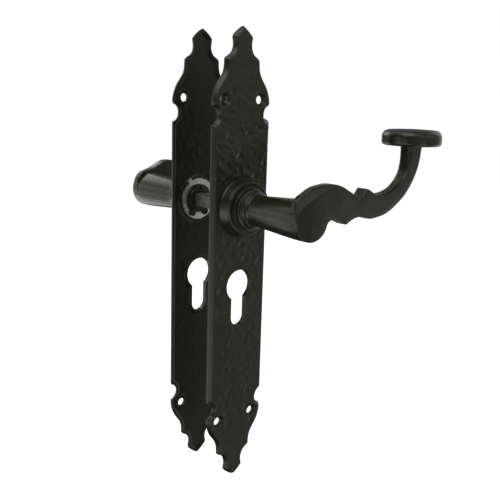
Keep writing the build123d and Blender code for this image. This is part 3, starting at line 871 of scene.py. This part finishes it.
# ------------------------------------------------- washer, circlip, spindle
def stamped(name, side, outer, holes, d0, d1, round_back=0.18, round_front=0.08, step=1.0):
    """A flat stamped piece between depths d0 and d1 with rolled edges."""
    h = d1 - d0

    def prof(r):
        return [(r * (1 - math.cos(t)), r * (1 - math.sin(t))) for t in np.linspace(0, math.pi / 2, 4)]

    s = Shape()
    lo = outer.min(0), outer.max(0)
    for base, sign, r in ((d0, 1.0, round_back), (d1, -1.0, round_front)):
        pr = prof(r)
        rings = [inset(outer, q) for q, _ in pr]
        hs = [[inset(k, -q) for q, _ in pr] for k in holes]
        g = grid_points(lo[0], lo[1], step)
        g = g[inside(g, rings[-1])]
        keep = distance(g, rings[-1]) > 0.4 * step
        for k in hs:
            keep &= ~inside(g, k[-1]) & (distance(g, k[-1]) > 0.4 * step)
        v, f, tags = triangulate(rings, hs, g[keep])
        dd = np.array([base + sign * (pr[t[1]][1] if t != -1 else 0.0) for t in tags])
        s.add(np.stack([v[:, 0], dd, v[:, 1]], 1), f)
    for k in [outer] + list(holes):
        s.strip(lift(k, d0 + round_back), lift(k, d1 - round_front))
    return s.make(name, side, angle=50.0)


def turned(points, degrees):
    c, s = math.cos(math.radians(degrees)), math.sin(math.radians(degrees))
    p = np.asarray(points)
    return np.stack([c * p[:, 0] - s * p[:, 1], s * p[:, 0] + c * p[:, 1]], 1)


def washer_ring():
    half = TAB_W / 2
    a = math.asin(half / WASHER_R)
    t = np.linspace(a, 2 * math.pi - a, 110)
    body = np.stack([WASHER_R * np.cos(t), WASHER_R * np.sin(t)], 1)
    c = 0.45
    tab = [line(body[-1], (TAB_REACH - c, -half), 0.5), line((TAB_REACH - c, -half), (TAB_REACH, -half + c), 0.5), line((TAB_REACH, -half + c), (TAB_REACH, half - c), 0.5),
           line((TAB_REACH, half - c), (TAB_REACH - c, half), 0.5), line((TAB_REACH - c, half), body[0], 0.5)]
    return ring_of([body] + tab)


def clip_ring():
    """Ring opened at the bottom, with a round eyelet lug either side."""
    r_in, r_out = GROOVE_R + 0.05, 9.25
    lug_x, lug_z, lug_r = 4.85, -8.3, 2.15
    # where the lug's circle leaves the ring's outer edge
    d = math.hypot(lug_x, lug_z)
    base = math.atan2(lug_z, lug_x)
    k = math.acos((r_out ** 2 + d ** 2 - lug_r ** 2) / (2 * r_out * d))
    a_out = base + k
    t = np.linspace(a_out, math.pi - a_out, 70)
    outer = np.stack([r_out * np.cos(t), r_out * np.sin(t)], 1)
    # the gap's edge runs from the bore out to the lug
    ux, uz = 5.2 / math.hypot(5.2, 14.0), -14.0 / math.hypot(5.2, 14.0)
    along = lug_x * ux + lug_z * uz
    t_in = along - math.sqrt(along ** 2 - d ** 2 + lug_r ** 2)
    p_out = np.array([r_out * math.cos(a_out), r_out * math.sin(a_out)])
    p_in = np.array([t_in * ux, t_in * uz])
    t0 = math.atan2(p_out[1] - lug_z, p_out[0] - lug_x)
    t1 = math.atan2(p_in[1] - lug_z, p_in[0] - lug_x)
    while t1 > t0:
        t1 -= 2 * math.pi
    u = np.linspace(t0, t1, 24)
    right = np.stack([lug_x + lug_r * np.cos(u), lug_z + lug_r * np.sin(u)], 1)
    a_in = math.atan2(uz, ux)
    ti = np.linspace(a_in, math.pi - a_in, 70)
    inner = np.stack([r_in * np.cos(ti), r_in * np.sin(ti)], 1)
    edge = line(p_in, inner[0], 0.4)
    left = right * (-1, 1)
    # over the top from the right lug to the left one, and back round the bore
    return ring_of([outer, left, (edge * (-1, 1)), inner[::-1], edge[::-1], right[::-1]]), (lug_x, lug_z)


def circlip(name, side):
    ring, (lx, lz) = clip_ring()
    eyes = [circle(0.85, 20, sx * lx, lz - 0.15) for sx in (-1, 1)]
    return stamped(name, side, ring, eyes, CLIP_A, CLIP_B, 0.16, 0.06, 0.8)


for word, side, lever in SIDES:
    w = stamped(f"{word}_washer_stamped", side, turned(washer_ring(), TAB_ANGLE), [circle(WASHER_BORE, 96)], WASHER_A, WASHER_B)
    piece(w, "plates", f"{word}_tab_washer", ZINC)
    c = circlip(f"{word}_circlip_stamped", side)
    piece(c, lever, f"{word}_circlip", CLIP)


def spindle_bar(name):
    bm = bmesh.new()
    bmesh.ops.create_cube(bm, size=1.0, matrix=Matrix.Diagonal((SPINDLE_SQ * MM, SPINDLE_LEN * MM, SPINDLE_SQ * MM, 1)))
    ends = [e for e in bm.edges if abs(e.verts[0].co.y - e.verts[1].co.y) < 1e-9]
    longs = [e for e in bm.edges if abs(e.verts[0].co.y - e.verts[1].co.y) > 1e-9]
    bmesh.ops.bevel(bm, geom=longs, offset=0.5 * MM, segments=3, profile=0.5, affect="EDGES")
    ends = [e for e in bm.edges if e.is_manifold and abs(abs(e.verts[0].co.y) - SPINDLE_LEN * MM / 2) < 1e-7 and abs(abs(e.verts[1].co.y) - SPINDLE_LEN * MM / 2) < 1e-7]
    bmesh.ops.bevel(bm, geom=ends, offset=0.55 * MM, segments=2, profile=0.6, affect="EDGES")
    # rings along the bar, so that its drawn faces can bow a little
    cuts = [e for e in bm.edges if abs(e.verts[0].co.y - e.verts[1].co.y) > 10 * MM]
    bmesh.ops.subdivide_edges(bm, edges=cuts, cuts=24, use_grid_fill=True)
    for v in bm.verts:
        v.co.x *= 1 - 0.004 * abs(math.sin(v.co.y * 190.0))
        v.co.z *= 1 - 0.004 * abs(math.sin(v.co.y * 170.0 + 0.6))
    bmesh.ops.recalc_face_normals(bm, faces=bm.faces)
    finish_mesh(bm, 30.0)
    mesh = bpy.data.meshes.new(name)
    bm.to_mesh(mesh)
    bm.free()
    return link(name, mesh)


piece(spindle_bar("spindle_bar_drawn"), "spindle_bar", "spindle", BAR)

# ------------------------------------------------------------ return springs
WIRE_R, COIL_R = 0.7, 11.0
COIL_START, COIL_PITCH, COIL_TURNS = 3.8, 1.65, 2.25
LEAD_LEN, BEND_R, KEY_ANGLE = 9.0, 2.0, 90.0


def spring_line():
    """The wire's middle, (u, v) across the coil and w along it, leg to leg."""
    slope = COIL_PITCH / (2 * math.pi)
    size = math.hypot(COIL_R, slope)
    a = np.linspace(0, 2 * math.pi * COIL_TURNS, int(56 * COIL_TURNS) + 1)
    coil = np.stack([COIL_R * np.cos(a), COIL_R * np.sin(a), slope * a], 1)

    def along(t):
        return np.array([-COIL_R * math.sin(t), COIL_R * math.cos(t), slope]) / size

    t0, t1 = along(a[0]), along(a[-1])
    lead = coil[0] - t0 * np.linspace(LEAD_LEN, 0, 13)[:-1, None]
    inward = np.array([-coil[-1][0], -coil[-1][1], 0.0]) / COIL_R
    phi = math.acos(-BEND_R / (COIL_R - BEND_R))
    centre = coil[-1] + inward * BEND_R
    b = np.linspace(0, phi, 12)[1:, None]
    bend = centre - inward * BEND_R * np.cos(b) + t1 * BEND_R * np.sin(b)
    run = inward * math.sin(phi) + t1 * math.cos(phi)
    tail = bend[-1] + run * np.linspace(0, math.hypot(bend[-1][0], bend[-1][1]) - 6.8, 5)[1:, None]
    p = np.concatenate([lead, coil, bend, tail])
    end = 360.0 * (COIL_TURNS % 1.0) + math.degrees(math.asin(BEND_R / (COIL_R - BEND_R)))
    flat = turned(p[:, :2], KEY_ANGLE - end)
    return np.stack([flat[:, 0], COIL_START + p[:, 2], flat[:, 1]], 1)


def torsion_spring(name, side, around=14):
    """Round wire along that line, with its cut ends broken."""
    p = spring_line()
    t = np.gradient(p, axis=0)
    t /= np.linalg.norm(t, axis=1)[:, None]
    n = np.cross(t[0], (0.0, 1.0, 0.0))
    rings = []
    for q, d in zip(p, t):
        n = n - d * (n @ d)
        n /= np.linalg.norm(n)
        rings.append((q, d, n, np.cross(d, n)))
    a = np.linspace(0, 2 * math.pi, around, endpoint=False)

    def ring(i, push, share):
        q, d, u, v = rings[i]
        return q + d * push + WIRE_R * share * (np.cos(a)[:, None] * u + np.sin(a)[:, None] * v)

    loops = [ring(0, 0.0, 0.80), ring(0, 0.14, 1.0)] + [ring(i, 0.0, 1.0) for i in range(1, len(p) - 1)]
    loops += [ring(-1, -0.14, 1.0), ring(-1, 0.0, 0.80)]
    s = Shape()
    pts = np.concatenate(loops + [p[:1], p[-1:]])
    faces = []
    for i in range(len(loops) - 1):
        for j in range(around):
            k = (j + 1) % around
            faces.append((i * around + j, i * around + k, (i + 1) * around + k, (i + 1) * around + j))
    first, last = len(pts) - 2, len(pts) - 1
    top = (len(loops) - 1) * around
    for j in range(around):
        k = (j + 1) % around
        faces.append((first, k, j))
        faces.append((last, top + j, top + k))
    s.add(pts, faces)
    return s.make(name, side, angle=40.0)


for word, side, lever in SIDES:
    o = torsion_spring(f"{word}_spring_coiled", side)
    dress(o, SPRING)
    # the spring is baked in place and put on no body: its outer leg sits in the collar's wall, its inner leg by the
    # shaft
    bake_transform(o)
    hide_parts(f"{word}_return_spring")

# ----------------------------------------------- solids that stay as they are
KEEP = {"nylon_bush": NYLON, "collar_pins": PIN}
for word, side, lever in SIDES:
    for part, mat in KEEP.items():
        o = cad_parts[f"{word}_{part}"]
        if not o.material_slots:
            o.data.materials.append(mat)
        for ms in o.material_slots:
            ms.material = mat

# -------------------------------------------------------------------- stage
scene = bpy.context.scene
scene.view_settings.view_transform = "Standard"
scene.view_settings.look = "None"


def pale(name, colour, strength):
    m = bpy.data.materials.new(name)
    m.use_nodes = True
    nt = m.node_tree
    for n in list(nt.nodes):
        nt.nodes.remove(n)
    out = nt.nodes.new("ShaderNodeOutputMaterial")
    add = nt.nodes.new("ShaderNodeAddShader")
    dif = nt.nodes.new("ShaderNodeBsdfDiffuse")
    dif.inputs["Color"].default_value = (*colour, 1)
    emi = nt.nodes.new("ShaderNodeEmission")
    emi.inputs["Color"].default_value = (1, 1, 1, 1)
    emi.inputs["Strength"].default_value = strength
    nt.links.new(dif.outputs[0], add.inputs[0])
    nt.links.new(emi.outputs[0], add.inputs[1])
    nt.links.new(add.outputs[0], out.inputs["Surface"])
    return m


FLOOR_Z = -0.215
bm = bmesh.new()
bmesh.ops.create_circle(bm, cap_ends=True, radius=4.0, segments=96)
floor_mesh = bpy.data.meshes.new("floor")
bm.to_mesh(floor_mesh)
bm.free()
floor = link("floor", floor_mesh)
floor.location.z = FLOOR_Z
floor.data.materials.append(pale("pale_floor", (0.30, 0.30, 0.30), 1.0))
floor.visible_glossy = False
floor.visible_diffuse = False
floor.visible_shadow = False

bm = bmesh.new()
bmesh.ops.create_uvsphere(bm, u_segments=64, v_segments=32, radius=4.0)
for f in bm.faces:
    f.normal_flip()
dome_mesh = bpy.data.meshes.new("backdrop")
bm.to_mesh(dome_mesh)
bm.free()
dome = link("backdrop", dome_mesh)
dome.data.materials.append(pale("white_backdrop", (0.0, 0.0, 0.0), 1.0))
dome.visible_glossy = False
dome.visible_diffuse = False
dome.visible_shadow = False
dome.visible_transmission = False

world = bpy.data.worlds.new("studio")
scene.world = world
world.use_nodes = True
bg = world.node_tree.nodes.get("Background") or world.node_tree.nodes.new("ShaderNodeBackground")
bg.inputs["Color"].default_value = (1.0, 1.0, 0.985, 1)
bg.inputs["Strength"].default_value = 0.01


# A tent of round soft panels about the object: azimuth (0 towards -Y, 90
# towards +X), elevation, radiance. The low ones stand for the bright table.
TENT = [(0, -50, 0.69), (60, -50, 0.25), (120, -50, 0.83), (0, -25, 1.46), (51, -25, 0.22), (77, -25, 0.90), (180, -25, 1.73), (206, -25, 0.83),
        (257, -25, 1.82), (283, -25, 1.11), (309, -25, 0.35), (39, 0, 0.28), (64, 0, 0.18), (90, 0, 0.62), (141, 0, 0.40), (193, 0, 0.17), (219, 0, 0.78),
        (244, 0, 0.31), (270, 0, 0.41), (321, 0, 0.20), (347, 0, 0.23), (0, 25, 0.66), (30, 25, 0.54), (60, 25, 0.14), (90, 25, 0.76), (120, 25, 0.13),
        (150, 25, 0.15), (180, 25, 2.03), (210, 25, 0.60), (330, 25, 0.27), (20, 50, 0.13), (65, 50, 0.41), (155, 50, 0.29), (200, 50, 0.45),
        (245, 50, 0.18), (290, 50, 2.22), (335, 50, 0.62), (0, 75, 0.44), (180, 75, 0.68), (270, 75, 1.11)]
TENT_AT, TENT_R, PANEL_R = Vector((0.02, -0.03, -0.02)), 1.2, 0.40

for az, el, radiance in TENT:
    a, e = math.radians(az), math.radians(el)
    d = Vector((math.sin(a) * math.cos(e), -math.cos(a) * math.cos(e), math.sin(e)))
    data = bpy.data.lights.new(f"panel_{az}_{el}", "AREA")
    data.shape, data.size = "DISK", 2 * PANEL_R
    data.energy = radiance * math.pi * math.pi * PANEL_R ** 2
    ob = bpy.data.objects.new(f"panel_{az}_{el}", data)
    scene.collection.objects.link(ob)
    ob.location = TENT_AT + d * TENT_R
    ob.rotation_mode = "QUATERNION"
    ob.rotation_quaternion = d.to_track_quat("Z", "Y")
    ob.visible_camera = False

# ------------------------------------------------------------------- camera
yaw, pitch, roll = 0.7447464, 0.2203974, -0.0305397
fwd = Vector((math.sin(yaw) * math.cos(pitch), math.cos(yaw) * math.cos(pitch), -math.sin(pitch)))
right = Vector((math.cos(yaw), -math.sin(yaw), 0))
down = fwd.cross(right)
r2 = math.cos(roll) * right + math.sin(roll) * down
d2 = -math.sin(roll) * right + math.cos(roll) * down
cam_data = bpy.data.cameras.new("camera")
cam_data.sensor_width = 36.0
cam_data.lens = 709.71 * 36.0 / 500.0
cam_data.clip_start, cam_data.clip_end = 0.01, 50
cam = bpy.data.objects.new("camera", cam_data)
scene.collection.objects.link(cam)
m = Matrix.Identity(4)
for i, axis in enumerate((r2, -d2, -fwd)):
    for k in range(3):
        m[k][i] = axis[k]
m.translation = Vector((-0.2754, -0.3284, 0.0670))
cam.matrix_world = m
scene.camera = cam
